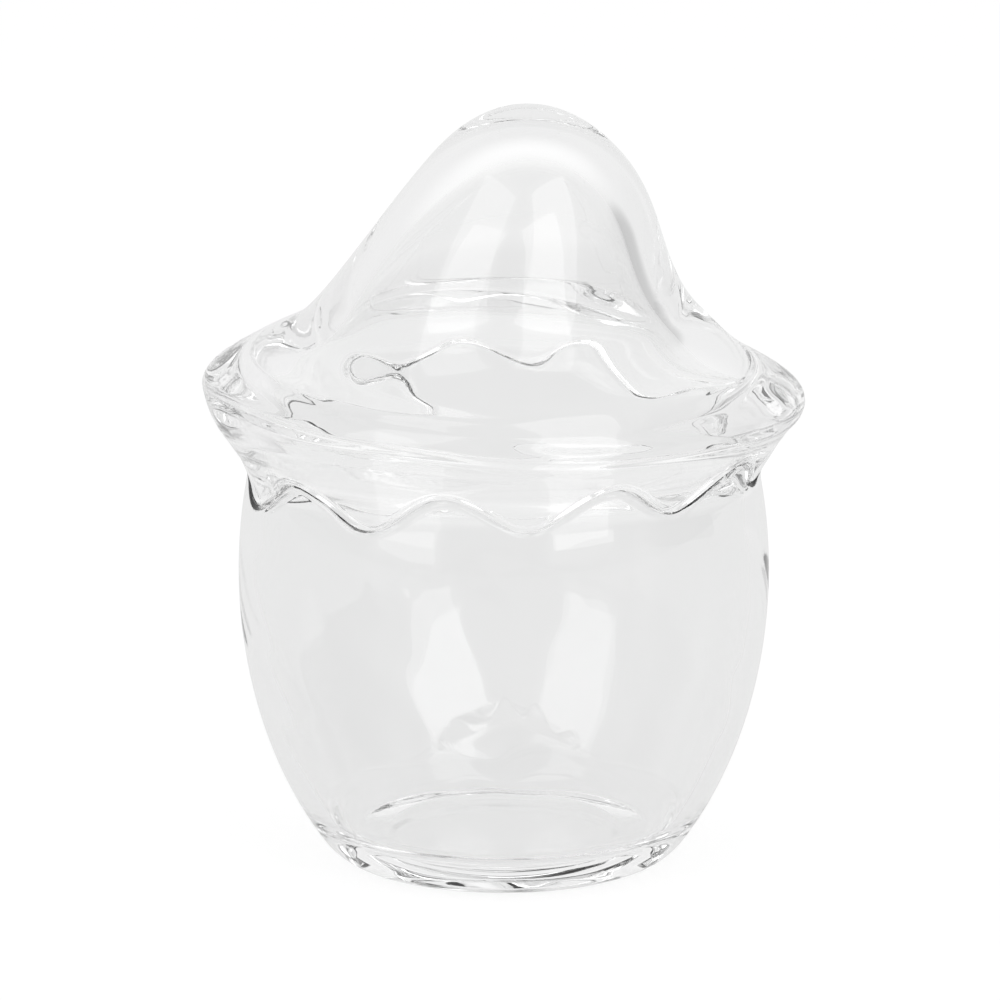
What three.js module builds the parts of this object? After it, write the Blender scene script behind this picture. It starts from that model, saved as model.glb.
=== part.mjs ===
// A small clear glass jar whose leaning, dome-shaped lid meets the body edge to edge along a wavy seam.
// Millimetres, +Z up, the jar stands on the plane z = 0 and its axis is the Z axis.
import * as THREE from 'three';

// Body
const jarRadius = 51.4; // half-width at the widest level
const jarWidestHeight = 56; // height of the widest level
const jarCurveHeight = 72.5; // half-height of the egg curve that the outside follows
const neckHeight = 75; // height at which the side leaves the egg curve and flares out to the brim
const jarWall = 4; // wall thickness from the neck down to the belly
const heelWall = 1; // extra wall where the side runs into the base
const baseThickness = 5; // glass under the floor
const floorRadius = 20; // flat part of the floor inside
const bowlHeight = 12; // height at which the inside starts to round into the floor
const footRadius = 29.5; // flat face that the jar stands on
const heelHeight = 4; // height at which the outside starts to round into the foot

// Brim and dome, heights measured from the neck
const brimOverhang = 6.6; // brim beyond the jar's widest half-width
const brimRise = 17.05; // brim's widest level
const brimWall = 12; // glass at the brim's widest level
const brimHollowDrop = 4.5; // widest level of the hollow inside the brim, below the brim's own
const brimTilt = 1.7; // brim rises this much on the left and falls as much on the right
const shoulderRadius = 48.4; // top of the brim, halfway down its slope
const shoulderRise = 25; // that place's height
const shoulderSlope = THREE.MathUtils.degToRad(30); // fall of the brim's top
const shoulderWall = 9; // glass at that place
const domeSideRadius = 27; // steepest place of the dome
const domeSideRise = 49.3; // that place's height
const domeSideSlope = THREE.MathUtils.degToRad(28); // from the upright, at that place
const domeWall = 6.5; // glass at that place
const domeRise = 72.15; // top of the dome
const crownWall = 9.5; // glass at the dome's top
const domeLean = 4.5; // dome's top leans this far to the right
const leanStart = 32; // height at which the lean starts

// Seam between the body and the lid
const seamDrop = 0.4; // seam's low points below the neck, on average
const scallopCount = 10;
const scallopDepth = 7.2; // from a low point of the seam up to the high point beside it
const scallopTurn = THREE.MathUtils.degToRad(5.5); // first low point's place, from the front to the right
const scallopDrift = THREE.MathUtils.degToRad(11.5); // the scallops crowd together by this angle at the back
const seamTilt = 2.2; // seam rises this much on the right and falls as much on the left
const seamGap = 0.3; // between the body's rim and the lid's edge
const edgeRound = 1.2; // rounding of both edges
const plainSide = 6; // level side of the body kept below the seam's lowest place

// How far a curve keeps the heading it has at an end, as a share of the distance between its ends
const longReach = 0.5;
const fairReach = 0.4;
const shortReach = 0.25;
const tightReach = 0.05;

// Facets round the axis and along the outlines
const facetsPerScallop = 8;
const heelSteps = 3;
const sideSteps = 8;
const collarSteps = 3;
const edgeSteps = 2;
const insideSteps = 7;
const bowlSteps = 5;
const flareSteps = 3;
const brimSteps = 4;
const domeSteps = 6;

const glass = (colour) => new THREE.MeshStandardMaterial({ color: colour, roughness: 0.05, metalness: 0 });

const point = (radius, height) => new THREE.Vector2(radius, height);
const heading = (radius, height) => new THREE.Vector2(radius, height).normalize();
const shares = (steps) => Array.from({ length: steps + 1 }, (_, step) => step / steps);
const between = (from, to, share) => from + (to - from) * share;

// A smooth curve that leaves one place along its heading and arrives at the next along that one's heading.
function sweep(from, fromHeading, fromReach, to, toHeading, toReach) {
  const distance = from.distanceTo(to);
  const leave = from.clone().addScaledVector(fromHeading, fromReach * distance);
  const arrive = to.clone().addScaledVector(toHeading, -toReach * distance);
  return new THREE.CubicBezierCurve(from, leave, arrive, to);
}

// Radius of a curve that only climbs, at a height.
function radiusOn(curve, height) {
  let below = 0;
  let above = 1;
  for (let halving = 0; halving < 40; halving += 1) {
    const middle = (above + below) / 2;
    if (curve.getPoint(middle).y < height) below = middle;
    else above = middle;
  }
  return curve.getPoint((above + below) / 2).x;
}

// Egg curve of the body's outside, and the way its side runs at a height.
const eggOutside = (height) => {
  const share = (height - jarWidestHeight) / jarCurveHeight;
  return jarRadius * Math.sqrt(1 - share * share);
};
const eggRun = (height) => {
  const share = (height - jarWidestHeight) / jarCurveHeight;
  return -jarRadius * jarRadius * share / (jarCurveHeight * eggOutside(height));
};

// Inside of the body: the wall grows thicker towards the base.
const eggInside = (height) => {
  const depth = Math.max(0, (jarWidestHeight - height) / jarWidestHeight);
  return eggOutside(height) - jarWall - heelWall * depth ** 3;
};

// Bounds of the seam, and the levels between which the edges on both sides of it are wavy.
const seamLow = neckHeight - seamDrop;
const seamTop = seamLow + scallopDepth + seamTilt;
const plainTop = seamLow - seamTilt - plainSide;
const wavyTop = seamTop + seamGap + edgeRound;

// Places that the outline goes through above the neck, outside and inside.
const neck = point(eggOutside(neckHeight), neckHeight);
const brim = point(jarRadius + brimOverhang, neckHeight + brimRise);
const shoulder = point(shoulderRadius, neckHeight + shoulderRise);
const domeSide = point(domeSideRadius, neckHeight + domeSideRise);
const crown = point(0, neckHeight + domeRise);

const straightUp = heading(0, 1);
const toAxis = heading(-1, 0);
const upNeck = heading(eggRun(neckHeight), 1);
const upShoulder = heading(-Math.cos(shoulderSlope), Math.sin(shoulderSlope));
const upDome = heading(-Math.sin(domeSideSlope), Math.cos(domeSideSlope));
const inwards = (along) => heading(-along.y, along.x);

const neckInside = point(eggInside(neckHeight), neckHeight);
const hollowHeight = Math.max(brim.y - brimHollowDrop, wavyTop + edgeRound);
const brimInside = point(brim.x - brimWall, hollowHeight);
const shoulderInside = shoulder.clone().addScaledVector(inwards(upShoulder), shoulderWall);
const domeSideInside = domeSide.clone().addScaledVector(inwards(upDome), domeWall);
const crownInside = point(0, crown.y - crownWall);

// The flare from the neck to the brim, which the seam cuts through.
const flareOutside = sweep(neck, upNeck, shortReach, brim, straightUp, shortReach);
const flareInside = sweep(neckInside, upNeck, shortReach, brimInside, straightUp, shortReach);
const outsideAt = (height) => (height < neckHeight ? eggOutside(height) : radiusOn(flareOutside, height));
const insideAt = (height) => (height < neckHeight ? eggInside(height) : radiusOn(flareInside, height));

// Height of the seam at an angle from the front.
const seamHeight = (angle) => {
  const drift = scallopDrift * (1 - Math.cos(angle)) / 2;
  const wave = (1 - Math.cos(scallopCount * (angle - scallopTurn + drift))) / 2;
  return seamLow + scallopDepth * wave + seamTilt * Math.sin(angle);
};

// The dome's lean grows smoothly with height. Only the outside of the brim tilts.
const leanAt = (height) => {
  const start = neckHeight + leanStart;
  return domeLean * THREE.MathUtils.smoothstep(height, start, crownInside.y);
};
const tiltAt = (height) => {
  if (height < brim.y) return THREE.MathUtils.smoothstep(height, wavyTop, brim.y);
  return 1 - THREE.MathUtils.smoothstep(height, shoulder.y, neckHeight + leanStart);
};

const facets = scallopCount * facetsPerScallop;
const angles = Array.from({ length: facets }, (_, facet) => 2 * Math.PI * facet / facets);
const around = (place, angle, tilt) => new THREE.Vector3(
  place.x * Math.sin(angle) + leanAt(place.y),
  -place.x * Math.cos(angle),
  place.y - brimTilt * tilt * Math.sin(angle),
);
const levelRing = (place) => angles.map((angle) => around(place, angle, 0));
const tiltedRing = (place) => angles.map((angle) => around(place, angle, tiltAt(place.y)));

// Rounded edge from its outside to its inside; up is 1 for the body's rim and -1 for the lid's edge.
function edgeRings(edges, up) {
  const quarter = shares(edgeSteps).map((share) => share * Math.PI / 2);
  const corner = (radiusAt, side, turn) => angles.map((angle, facet) => {
    const start = edges[facet] - up * edgeRound;
    const radius = radiusAt(start) - side * edgeRound * (1 - Math.cos(turn));
    return around(point(radius, start + up * edgeRound * Math.sin(turn)), angle, 0);
  });
  const outer = quarter.map((turn) => corner(outsideAt, 1, turn));
  const inner = quarter.map((turn) => corner(insideAt, -1, turn));
  return [...outer, ...inner.reverse()];
}

// Rings that spread evenly between a level line and a rounded edge, without the edge's own ring.
function fanRings(radiusAt, level, ends, steps, tilted) {
  return shares(steps).slice(0, -1).map((share) => angles.map((angle, facet) => {
    const height = between(level, ends[facet], share);
    return around(point(radiusAt(height), height), angle, tilted ? tiltAt(height) : 0);
  }));
}

function bodyRings() {
  const edges = angles.map((angle) => seamHeight(angle) - seamGap);
  const ends = edges.map((edge) => edge - edgeRound);
  const wallStep = 1;
  const bowl = sweep(
    point(floorRadius, baseThickness),
    heading(1, 0),
    tightReach,
    point(eggInside(bowlHeight), bowlHeight),
    heading(eggInside(bowlHeight) - eggInside(bowlHeight - wallStep), wallStep),
    longReach,
  );
  const heel = new THREE.QuadraticBezierCurve(
    point(eggOutside(heelHeight), heelHeight),
    point(eggOutside(0), 0),
    point(footRadius, 0),
  );
  const onInside = (share) => between(bowlHeight, plainTop, share);
  const onOutside = (share) => between(plainTop, heelHeight, share);
  const insideHeights = shares(insideSteps).slice(1, -1).map(onInside);
  const outsideHeights = shares(sideSteps).slice(1, -1).map(onOutside);
  return [
    ...bowl.getPoints(bowlSteps).map(levelRing),
    ...insideHeights.map((height) => levelRing(point(eggInside(height), height))),
    ...fanRings(insideAt, plainTop, ends, collarSteps, false),
    ...edgeRings(edges, 1).reverse(),
    ...fanRings(outsideAt, plainTop, ends, collarSteps, false).reverse(),
    ...outsideHeights.map((height) => levelRing(point(eggOutside(height), height))),
    ...heel.getPoints(heelSteps).map(levelRing),
  ];
}

function lidRings() {
  const edges = angles.map((angle) => seamHeight(angle));
  const ends = edges.map((edge) => edge + edgeRound);
  const brimToCrown = (places) => [
    sweep(places[0], straightUp, shortReach, places[1], upShoulder, fairReach).getPoints(brimSteps).slice(1),
    sweep(places[1], upShoulder, fairReach, places[2], upDome, longReach).getPoints(domeSteps).slice(1),
    sweep(places[2], upDome, shortReach, places[3], toAxis, fairReach).getPoints(domeSteps).slice(1, -1),
  ].flat();
  const outside = brimToCrown([brim, shoulder, domeSide, crown]);
  const inside = brimToCrown([brimInside, shoulderInside, domeSideInside, crownInside]);
  return [
    ...outside.reverse().map(tiltedRing),
    ...fanRings(outsideAt, brim.y, ends, flareSteps, true),
    ...edgeRings(edges, -1),
    ...fanRings(insideAt, brimInside.y, ends, flareSteps, false).reverse(),
    ...inside.map(levelRing),
  ];
}

// One closed skin between two places on the axis, down the outside and up the inside.
function skin(start, rings, end, colour) {
  const corners = [around(start, 0, 0), ...rings.flat(), around(end, 0, 0)];
  const triangles = [];
  const corner = (ringIndex, facet) => 1 + ringIndex * facets + facet % facets;
  const last = rings.length - 1;
  for (let facet = 0; facet < facets; facet += 1) {
    triangles.push(0, corner(0, facet), corner(0, facet + 1));
    for (let index = 0; index < last; index += 1) {
      triangles.push(corner(index, facet), corner(index + 1, facet), corner(index + 1, facet + 1));
      triangles.push(corner(index, facet), corner(index + 1, facet + 1), corner(index, facet + 1));
    }
    triangles.push(corner(last, facet), corners.length - 1, corner(last, facet + 1));
  }
  const geometry = new THREE.BufferGeometry().setFromPoints(corners);
  geometry.setIndex(triangles);
  geometry.computeVertexNormals();
  return new THREE.Mesh(geometry, glass(colour));
}

const jar = new THREE.Group();
jar.name = 'glass_jar';
const body = skin(point(0, baseThickness), bodyRings(), point(0, 0), 0xdfe6e6);
body.name = 'jar_body';
const lid = skin(crown, lidRings(), crownInside, 0xe4eaea);
lid.name = 'lid';
jar.add(body, lid);

export default jar;
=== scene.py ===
import bpy
import math
import numpy as np
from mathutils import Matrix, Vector


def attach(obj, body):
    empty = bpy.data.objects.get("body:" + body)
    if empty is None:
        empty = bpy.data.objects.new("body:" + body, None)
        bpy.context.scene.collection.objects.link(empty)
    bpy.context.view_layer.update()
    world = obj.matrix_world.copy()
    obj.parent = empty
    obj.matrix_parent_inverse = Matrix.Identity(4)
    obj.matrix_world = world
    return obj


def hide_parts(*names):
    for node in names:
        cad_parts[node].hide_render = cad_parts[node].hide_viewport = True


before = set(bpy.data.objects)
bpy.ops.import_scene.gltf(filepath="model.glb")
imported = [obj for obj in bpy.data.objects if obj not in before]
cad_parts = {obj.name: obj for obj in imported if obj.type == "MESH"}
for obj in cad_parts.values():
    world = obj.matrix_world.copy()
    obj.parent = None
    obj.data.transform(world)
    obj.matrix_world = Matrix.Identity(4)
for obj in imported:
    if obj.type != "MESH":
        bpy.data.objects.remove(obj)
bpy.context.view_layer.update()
print("stage: frame", sorted(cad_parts))

mm = 0.001
longReach, fairReach, shortReach, shallowReach, tightReach = 0.5, 0.4, 0.25, 0.15, 0.08


def unit(x, y):
    length = math.hypot(x, y)
    return np.array([x / length, y / length])


def turned(course):
    return np.array([-course[1], course[0]])


# a curve that leaves one place along its heading and arrives at the next along that one's
def sweep(start, startHeading, startReach, end, endHeading, endReach, steps):
    start, end = np.array(start, float), np.array(end, float)
    distance = np.linalg.norm(end - start)
    leave = start + startHeading * startReach * distance
    arrive = end - endHeading * endReach * distance
    t = np.linspace(0, 1, steps + 1)[:, None]
    s = 1 - t
    return s ** 3 * start + 3 * s ** 2 * t * leave + 3 * s * t * t * arrive + t ** 3 * end


def smooth(value, low, high):
    share = np.clip((value - low) / (high - low), 0, 1)
    return share * share * (3 - 2 * share)


# the one outline that body and lid are cut from, millimetres
form = {
    "eggRadius": 51.4, "eggMiddle": 56, "eggHalf": 72.5, "neck": 75,
    "wall": 4, "heelWall": 1, "base": 5, "floorRadius": 22, "bowl": 10, "foot": 29.5, "heel": 4,
    "brim": (58, 92.05), "brimWall": 12, "brimHollowDrop": 4.5, "brimTilt": 1.7,
    "shoulder": (48.4, 100), "shoulderSlope": 30, "shoulderWall": 9,
    "domeSide": (27, 124.3), "domeSlope": 28, "domeWall": 6.5,
    "crown": 147.15, "crownWall": 9.5, "lean": 4.5, "leanStart": 107,
}
seam = {
    "low": 74.6, "count": 10, "depth": 7.2, "turn": 5.5, "drift": 11.5, "tilt": 2.2,
    "gap": 0.3, "edgeRound": 1.2, "plainTop": 66.4,
}
# steps that each stretch of the outline is drawn in
counts = {
    "floor": 4, "bowl": 16, "inside": 29, "fan": 18, "edge": 6, "outside": 35, "heel": 9,
    "flare": 240, "brim": 14, "flank": 22, "top": 20,
}


def eggOutside(height):
    return form["eggRadius"] * math.sqrt(1 - ((height - form["eggMiddle"]) / form["eggHalf"]) ** 2)


def eggInside(height):
    depth = max(0, (form["eggMiddle"] - height) / form["eggMiddle"])
    return eggOutside(height) - form["wall"] - form["heelWall"] * depth ** 3


up, inward, outward = unit(0, 1), unit(-1, 0), unit(1, 0)
nudge = 0.01
neckHeading = unit(eggOutside(form["neck"] + nudge) - eggOutside(form["neck"] - nudge), 2 * nudge)
shoulderAngle, domeAngle = math.radians(form["shoulderSlope"]), math.radians(form["domeSlope"])
shoulderHeading = unit(-math.cos(shoulderAngle), math.sin(shoulderAngle))
domeHeading = unit(-math.sin(domeAngle), math.cos(domeAngle))
outer = {
    "neck": (eggOutside(form["neck"]), form["neck"]), "brim": form["brim"], "shoulder": form["shoulder"],
    "domeSide": form["domeSide"], "crown": (0, form["crown"]), "egg": eggOutside,
}
inner = {
    "neck": (eggInside(form["neck"]), form["neck"]),
    "brim": (form["brim"][0] - form["brimWall"], form["brim"][1] - form["brimHollowDrop"]),
    "shoulder": np.array(form["shoulder"]) + turned(shoulderHeading) * form["shoulderWall"],
    "domeSide": np.array(form["domeSide"]) + turned(domeHeading) * form["domeWall"],
    "crown": (0, form["crown"] - form["crownWall"]), "egg": eggInside,
}
for side in (outer, inner):
    side["flare"] = sweep(side["neck"], neckHeading, shortReach, side["brim"], up, shortReach, counts["flare"])


def radiusAt(side, height):
    if height < form["neck"]:
        return side["egg"](height)
    return float(np.interp(height, side["flare"][:, 1], side["flare"][:, 0]))


def seamHeight(angle):
    drift = math.radians(seam["drift"]) * (1 - math.cos(angle)) / 2
    wave = (1 - math.cos(seam["count"] * (angle - math.radians(seam["turn"]) + drift))) / 2
    return seam["low"] + seam["depth"] * wave + seam["tilt"] * math.sin(angle)


def leanAt(height):
    return form["lean"] * smooth(height, form["leanStart"], inner["crown"][1])


def tiltAt(height):
    start = seam["low"] + seam["depth"] + seam["tilt"] + seam["gap"] + seam["edgeRound"]
    if height < form["brim"][1]:
        return smooth(height, start, form["brim"][1])
    return 1 - smooth(height, form["shoulder"][1], form["leanStart"])


# rows of an outline: each gives its radius and height where the seam runs at a height
def plainRows(places):
    return [lambda edge, place=place: (float(place[0]), float(place[1])) for place in places]


def fanRows(side, level, lift):
    def row(share):
        def place(edge):
            height = level + (edge + lift - level) * share
            return radiusAt(side, height), height
        return place
    return [row(step / counts["fan"]) for step in range(counts["fan"])]


def edgeRows(upward, lift):
    rounding = seam["edgeRound"]

    def row(side, sign, turn):
        def place(edge):
            start = edge + lift
            radius = radiusAt(side, start) - sign * rounding * (1 - math.cos(turn))
            return radius, start + upward * rounding * math.sin(turn)
        return place
    turns = [math.pi / 2 * step / counts["edge"] for step in range(counts["edge"] + 1)]
    return [row(outer, 1, turn) for turn in turns] + [row(inner, -1, turn) for turn in reversed(turns)]


def bodyRows():
    lift = -seam["gap"] - seam["edgeRound"]
    top, bowlTop, heelTop = seam["plainTop"], form["bowl"], form["heel"]
    shares = [step / counts["floor"] for step in range(counts["floor"])]
    floor = [(form["floorRadius"] * share, form["base"]) for share in shares]
    wall = unit(eggInside(bowlTop) - eggInside(bowlTop - 1), 1)
    bowl = sweep(
        (form["floorRadius"], form["base"]), outward, tightReach,
        (eggInside(bowlTop), bowlTop), wall, shallowReach, counts["bowl"])
    inside = [(eggInside(h), h) for h in np.linspace(bowlTop, top, counts["inside"] + 1)[1:-1]]
    outside = [(eggOutside(h), h) for h in np.linspace(top, heelTop, counts["outside"] + 1)[1:-1]]
    start, corner = np.array([eggOutside(heelTop), heelTop]), np.array([eggOutside(0), 0])
    t = np.linspace(0, 1, counts["heel"] + 1)[:, None]
    heel = (1 - t) ** 2 * start + 2 * t * (1 - t) * corner + t * t * np.array([form["foot"], 0])
    foot = [(form["foot"] * share, 0) for share in reversed(shares)]
    return (
        plainRows(floor) + plainRows(bowl) + plainRows(inside)
        + fanRows(inner, top, lift) + edgeRows(1, lift)[::-1] + fanRows(outer, top, lift)[::-1]
        + plainRows(outside) + plainRows(heel) + plainRows(foot)
    )


def domePlaces(side):
    brim = sweep(side["brim"], up, shortReach, side["shoulder"], shoulderHeading, fairReach, counts["brim"])
    flank = sweep(
        side["shoulder"], shoulderHeading, fairReach, side["domeSide"], domeHeading, longReach, counts["flank"])
    top = sweep(side["domeSide"], domeHeading, shortReach, side["crown"], inward, fairReach, counts["top"])
    return list(brim[1:]) + list(flank[1:]) + list(top[1:])


def lidRows():
    lift = seam["edgeRound"]
    return (
        plainRows(domePlaces(outer)[::-1]) + fanRows(outer, outer["brim"][1], lift)
        + edgeRows(-1, lift) + fanRows(inner, inner["brim"][1], lift)[::-1]
        + plainRows(domePlaces(inner))
    )


def deselect():
    if bpy.context.object and bpy.context.object.mode != "OBJECT":
        bpy.ops.object.mode_set(mode="OBJECT")
    bpy.ops.object.select_all(action="DESELECT")


spinSteps, mergeDistance, axisRadius = 240, 2e-6, 1e-3


# the outline is drawn by extruding one vertex from place to place, then spun round the axis
def spun(name, rows):
    level = seam["low"] + seam["depth"] / 2
    outline = np.array([row(level) for row in rows])
    places = [Vector((radius * mm, 0, height * mm)) for radius, height in outline]
    deselect()
    bpy.ops.mesh.primitive_plane_add(size=mm, location=places[0])
    piece = bpy.context.object
    piece.name = piece.data.name = name
    bpy.ops.object.transform_apply(location=True, rotation=True, scale=True)
    bpy.ops.object.mode_set(mode="EDIT")
    bpy.ops.mesh.select_all(action="SELECT")
    bpy.ops.mesh.merge(type="CENTER")
    for here, there in zip(places, places[1:]):
        bpy.ops.mesh.extrude_region_move(TRANSFORM_OT_translate={"value": there - here})
    bpy.ops.mesh.select_all(action="SELECT")
    bpy.ops.mesh.spin(steps=spinSteps, angle=2 * math.pi, center=(0, 0, 0), axis=(0, 0, 1))
    bpy.ops.mesh.select_all(action="SELECT")
    bpy.ops.mesh.remove_doubles(threshold=mergeDistance)
    bpy.ops.mesh.select_all(action="SELECT")
    bpy.ops.mesh.normals_make_consistent(inside=False)
    bpy.ops.object.mode_set(mode="OBJECT")
    return piece, outline


# moulded glass: waves given by count round the axis, millimetres from one to the next upwards, depth, place
drifts = [(3, 0.8, 1), (7, 0.5, 0)]


def uneven(waves, angle, height):
    drift = sum(depth * math.sin(count * angle + place) for count, depth, place in drifts)
    return sum(
        depth * math.sin(count * angle + place + 2 * math.pi * height / pitch + drift)
        for count, pitch, depth, place in waves)


# the level seam of the spun piece is carried to the wavy one, the dome leaned over and the glass made uneven
def waved(piece, rows, outline, tilted, ripple):
    for vertex in piece.data.vertices:
        x, y, z = (value / mm for value in vertex.co)
        radius = math.hypot(x, y)
        index = int(np.argmin((outline[:, 0] - radius) ** 2 + (outline[:, 1] - z) ** 2))
        angle = math.atan2(x, -y)
        newRadius, height = rows[index](seamHeight(angle))
        newRadius += ripple(index, angle, height)
        tilt = form["brimTilt"] * tiltAt(height) * math.sin(angle) if index in tilted else 0
        ratio = newRadius / radius if radius > axisRadius else 0
        vertex.co = ((x * ratio + leanAt(height)) * mm, y * ratio * mm, (height - tilt) * mm)
    piece.data.update()
    deselect()
    piece.select_set(True)
    bpy.context.view_layer.objects.active = piece
    bpy.ops.object.shade_smooth()


class Sock:
    def __init__(self, tree, socket):
        self.tree, self.socket = tree, socket

    # any node by type, with settings and with values or links for its sockets
    def node(self, kind, settings=None, output=0, **values):
        return addNode(self.tree, kind, settings, output, **values)

    def math(self, operation, *values):
        return self.node("ShaderNodeMath", {"operation": operation}, **{str(i): v for i, v in enumerate(values)})

    def __add__(self, other): return self.math("ADD", self, other)
    def __radd__(self, other): return self.math("ADD", other, self)
    def __sub__(self, other): return self.math("SUBTRACT", self, other)
    def __rsub__(self, other): return self.math("SUBTRACT", other, self)
    def __mul__(self, other): return self.math("MULTIPLY", self, other)
    def __rmul__(self, other): return self.math("MULTIPLY", other, self)
    def __truediv__(self, other): return self.math("DIVIDE", self, other)
    def __rtruediv__(self, other): return self.math("DIVIDE", other, self)


def addNode(tree, kind, settings=None, output=0, **values):
    node = tree.nodes.new(kind)
    for key, value in (settings or {}).items():
        setattr(node, key, value)
    for key, value in values.items():
        socket = node.inputs[int(key)] if key.isdigit() else node.inputs[key.replace("_", " ")]
        if isinstance(value, Sock):
            tree.links.new(value.socket, socket)
        else:
            socket.default_value = value
    return Sock(tree, node.outputs[output]) if len(node.outputs) else node


def freshTree(owner):
    owner.use_nodes = True
    owner.node_tree.nodes.clear()
    return owner.node_tree


# clear glass with a faint, patchy tint
glass = {"filmScale": 18, "filmDetail": 3.0, "tint": (0.982, 0.984, 0.983, 1), "clear": (1, 1, 1, 1), "ior": 1.5}


def glassMaterial(name):
    material = bpy.data.materials.new(name)
    tree = freshTree(material)
    spot = addNode(tree, "ShaderNodeTexCoord", output="Object")
    film = spot.node("ShaderNodeTexNoise", Vector=spot, Scale=glass["filmScale"], Detail=glass["filmDetail"])
    tint = film.node(
        "ShaderNodeMix", {"data_type": "RGBA"}, 2, **{"0": film, "6": glass["tint"], "7": glass["clear"]})
    shader = tint.node(
        "ShaderNodeBsdfPrincipled", Base_Color=tint, Roughness=0.0, IOR=glass["ior"], Transmission_Weight=1.0)
    shader.node("ShaderNodeOutputMaterial", Surface=shader)
    return material


body = {
    "node": "jar_body", "rides": "jar", "slot": "jar_glass", "glass": "jarGlass",
    "swells": [(5, 44, 0.18, 0.4), (9, 27, 0.09, 2.1), (14, 17, 0.05, 4.4), (23, 12, 0.02, 1.3)],
    "swellsStart": (20, 40), "swellsEnd": 74, "swellsFade": 12,
}
rows = bodyRows()
bodyInside = range(counts["floor"], counts["floor"] + counts["bowl"] + counts["inside"] + counts["fan"])


def bodyRipple(index, angle, height):
    if index not in bodyInside:
        return 0
    share = smooth(height, *body["swellsStart"]) * smooth(body["swellsEnd"] - height, 0, body["swellsFade"])
    return uneven(body["swells"], angle, height) * share


jarBody, outline = spun("jarBody", rows)
waved(jarBody, rows, outline, (), bodyRipple)
jarBody.data.materials.append(glassMaterial(body["glass"]))
print("stage: body", len(rows), "rows", len(jarBody.data.vertices), "vertices")

lid = {
    "node": "lid", "rides": "cover", "slot": "lid_glass", "glass": "lidGlass",
    "streaks": [(2, 7.5, 0.22, 0.7), (3, 4.6, 0.11, 3.9)],
    "streaksStart": (86.5, 90), "insideEnd": 94, "outsideEnd": 101, "streaksFade": 4, "front": (-0.1, 0.5),
}
rows = lidRows()
tilted = set(range(len(domePlaces(outer)) + counts["fan"]))
lidInside = range(len(rows) - len(domePlaces(inner)) - counts["fan"], len(rows))


def lidRipple(index, angle, height):
    end = lid["insideEnd"] if index in lidInside else lid["outsideEnd"]
    share = smooth(height, *lid["streaksStart"]) * smooth(end - height, 0, lid["streaksFade"])
    return uneven(lid["streaks"], angle, height) * share * smooth(math.cos(angle), *lid["front"])


jarLid, outline = spun("jarLid", rows)
waved(jarLid, rows, outline, tilted, lidRipple)
jarLid.data.materials.append(glassMaterial(lid["glass"]))
print("stage: lid", len(rows), "rows", len(jarLid.data.vertices), "vertices")

for piece, facts in ((jarBody, body), (jarLid, lid)):
    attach(piece, facts["rides"])
    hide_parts(facts["node"])


def fade(value, low, high, start, end):
    return value.node(
        "ShaderNodeMapRange", {"interpolation_type": "SMOOTHSTEP"}, Value=value,
        From_Min=low, From_Max=high, To_Min=start, To_Max=end)


# floor: pale, keeps the soft shadow; white to the camera, a little darker through the glass
floorLook = {
    "size": 6, "drop": 0.0003, "albedo": 0.2, "grain": 0.01, "grainScale": 40.0,
    "glow": 0.88, "glowInGlass": 0.68, "farGlow": 0.07, "far": (0.3, 0.9),
}
deselect()
bpy.ops.mesh.primitive_plane_add(size=floorLook["size"], location=(0, 0, -floorLook["drop"]))
floor = bpy.context.object
floor.name = "floor"
bpy.ops.object.transform_apply(location=True, rotation=True, scale=True)
floorMaterial = bpy.data.materials.new("floor")
tree = freshTree(floorMaterial)
cameraRay = addNode(tree, "ShaderNodeLightPath", output="Is Camera Ray")
glossyRay = addNode(tree, "ShaderNodeLightPath", output="Is Glossy Ray")
clearRay = addNode(tree, "ShaderNodeLightPath", output="Is Transmission Ray")
spot = addNode(tree, "ShaderNodeTexCoord", output="Object")
behind = spot.node("ShaderNodeSeparateXYZ", output="Y", Vector=spot)
far = fade(behind, *floorLook["far"], floorLook["glowInGlass"], floorLook["glowInGlass"] + floorLook["farGlow"])
inGlass = glossyRay.math("MAXIMUM", glossyRay, clearRay) * far
seen = cameraRay.math("MAXIMUM", cameraRay * floorLook["glow"], inGlass)
grain = spot.node("ShaderNodeTexNoise", Vector=spot, Scale=floorLook["grainScale"])
shade = floorLook["albedo"] * (1 - floorLook["grain"] + floorLook["grain"] * grain)
grey = shade.node("ShaderNodeCombineColor", Red=shade, Green=shade, Blue=shade)
paper = grey.node("ShaderNodeBsdfDiffuse", Color=grey)
glow = seen.node("ShaderNodeEmission", Strength=seen)
both = glow.node("ShaderNodeAddShader", **{"0": paper, "1": glow})
both.node("ShaderNodeOutputMaterial", Surface=both)
floor.data.materials.append(floorMaterial)


# direction from the jar: degrees to the right of the camera, then degrees up
def toward(turn, rise):
    turn, rise = math.radians(turn), math.radians(rise)
    return Vector((math.cos(rise) * math.sin(turn), -math.cos(rise) * math.cos(turn), math.sin(rise)))


# studio: pale room, lighter behind and above, with darker screens at the right
room = {
    "front": 0.8, "back": 1.09, "backward": (0.1, 0.8), "diffuse": 0.7, "rim": 1.3, "core": 0.6,
    "screens": [
        {"turn": 122, "rise": 8, "half": 16, "shade": 0.72},
        {"turn": 90, "rise": 10, "half": 22, "shade": 0.65},
        {"turn": 0, "rise": 90, "half": 60, "shade": 1.2},
    ],
}
world = bpy.data.worlds.new("studio")
bpy.context.scene.world = world
tree = freshTree(world)
heading = addNode(tree, "ShaderNodeTexCoord", output="Generated")


def along(direction):
    return heading.node(
        "ShaderNodeVectorMath", {"operation": "DOT_PRODUCT"}, "Value", **{"0": heading, "1": direction})


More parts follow.
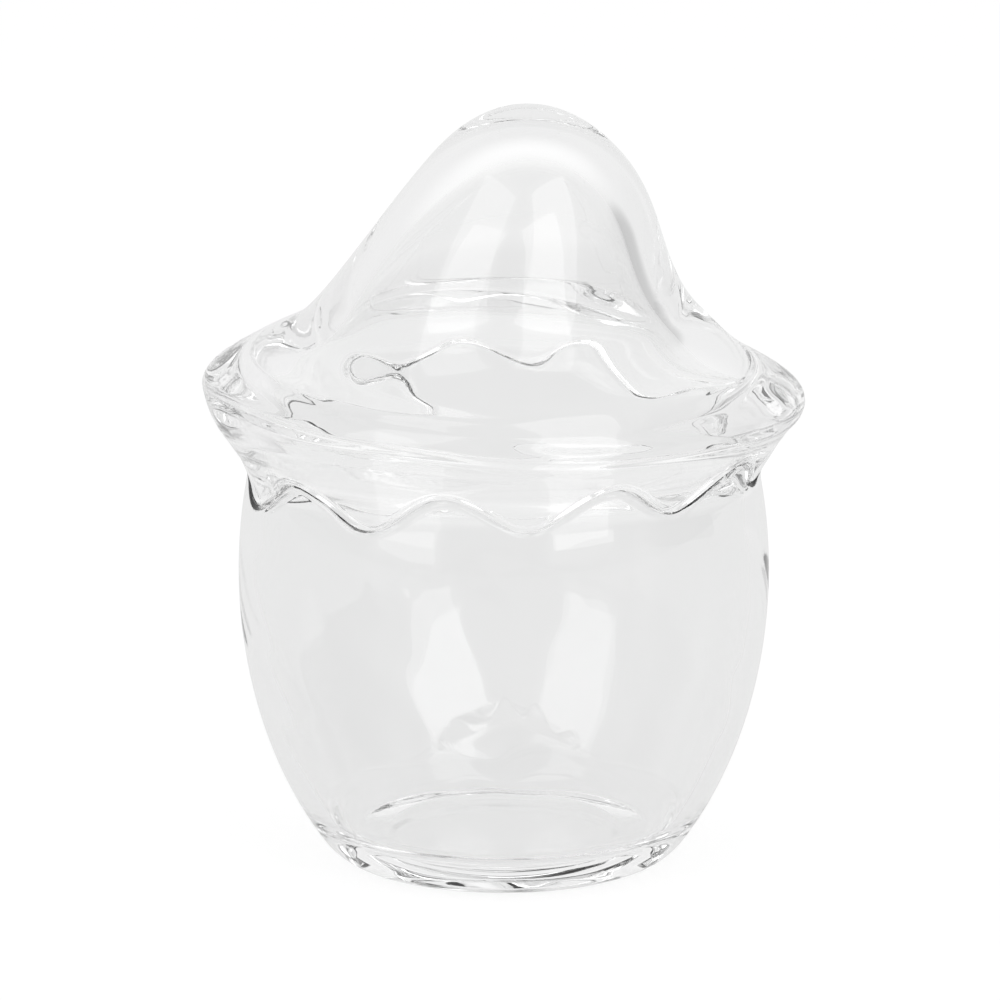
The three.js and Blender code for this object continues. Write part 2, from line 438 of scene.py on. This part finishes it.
surround = fade(along((0, 1, 0)), *room["backward"], room["front"], room["back"])
for screen in room["screens"]:
    rim, core = (math.cos(math.radians(room[edge] * screen["half"])) for edge in ("rim", "core"))
    facing = along(toward(screen["turn"], screen["rise"]))
    surround = surround * fade(facing, rim, core, 1.0, screen["shade"])

# tall soft boxes: each a lamp with a paler, soft-edged cloth round it
boxes = {"distance": 1.3, "rise": 34, "middle": Vector((0, 0, 0.07)), "edge": 0.05, "glow": 0.35, "leastAhead": 0.05}
softBoxes = [
    {"name": "softBoxLeft", "turn": -44, "cloth": (0.9, 1.7), "lamp": (0.74, 1.5), "glare": 1.0},
    {"name": "softBoxRight", "turn": 35, "cloth": (0.84, 1.7), "lamp": (0.68, 1.5), "glare": 1.35},
]
for box in softBoxes:
    away = toward(box["turn"], boxes["rise"])
    aim = (-away).to_track_quat("-Z", "Y")
    deselect()
    bpy.ops.object.light_add(type="AREA", location=boxes["middle"] + boxes["distance"] * away)
    lamp = bpy.context.object
    lamp.name = lamp.data.name = box["name"]
    lamp.data.shape = "RECTANGLE"
    lamp.data.size, lamp.data.size_y = box["lamp"]
    lamp.data.energy = box["glare"] * math.pi * box["lamp"][0] * box["lamp"][1]
    lamp.rotation_euler = aim.to_euler()
    ahead = along(away)
    ahead = ahead.math("MAXIMUM", ahead, boxes["leastAhead"])
    cloth = boxes["glow"]
    for axis, length in zip((Vector((1, 0, 0)), Vector((0, 1, 0))), box["cloth"]):
        off = along(aim @ axis) / ahead
        reach = length / 2 / boxes["distance"]
        cloth = cloth * fade(off.math("ABSOLUTE", off), reach - boxes["edge"], reach + boxes["edge"], 1.0, 0.0)
    surround = surround + cloth
diffuseRay = addNode(tree, "ShaderNodeLightPath", output="Is Diffuse Ray")
cameraRay = addNode(tree, "ShaderNodeLightPath", output="Is Camera Ray")
plainRay = diffuseRay.math("MAXIMUM", diffuseRay, cameraRay)
strength = cameraRay + diffuseRay * room["diffuse"] + (1 - plainRay) * surround
backdrop = strength.node("ShaderNodeBackground", Strength=strength)
backdrop.node("ShaderNodeOutputWorld", Surface=backdrop)

view = {
    "distance": 1.0, "elevation": 12.5, "target": 0.073,
    "sensor": 36, "lens": 186.2, "shiftX": -0.0038, "shiftY": -0.015,
}
angle = math.radians(view["elevation"])
deselect()
bpy.ops.object.camera_add(
    location=(0, -view["distance"] * math.cos(angle), view["target"] + view["distance"] * math.sin(angle)),
    rotation=(math.pi / 2 - angle, 0, 0))
camera = bpy.context.object
camera.data.sensor_width = view["sensor"]
camera.data.lens = view["lens"]
camera.data.shift_x, camera.data.shift_y = view["shiftX"], view["shiftY"]
scene = bpy.context.scene
scene.camera = camera
scene.view_settings.view_transform = "Standard"
# light stays inside thick glass for many bounces
clearBounces, mirrorBounces = 64, 22
scene.cycles.max_bounces = scene.cycles.transmission_bounces = clearBounces
scene.cycles.glossy_bounces = mirrorBounces
print("stage: studio")
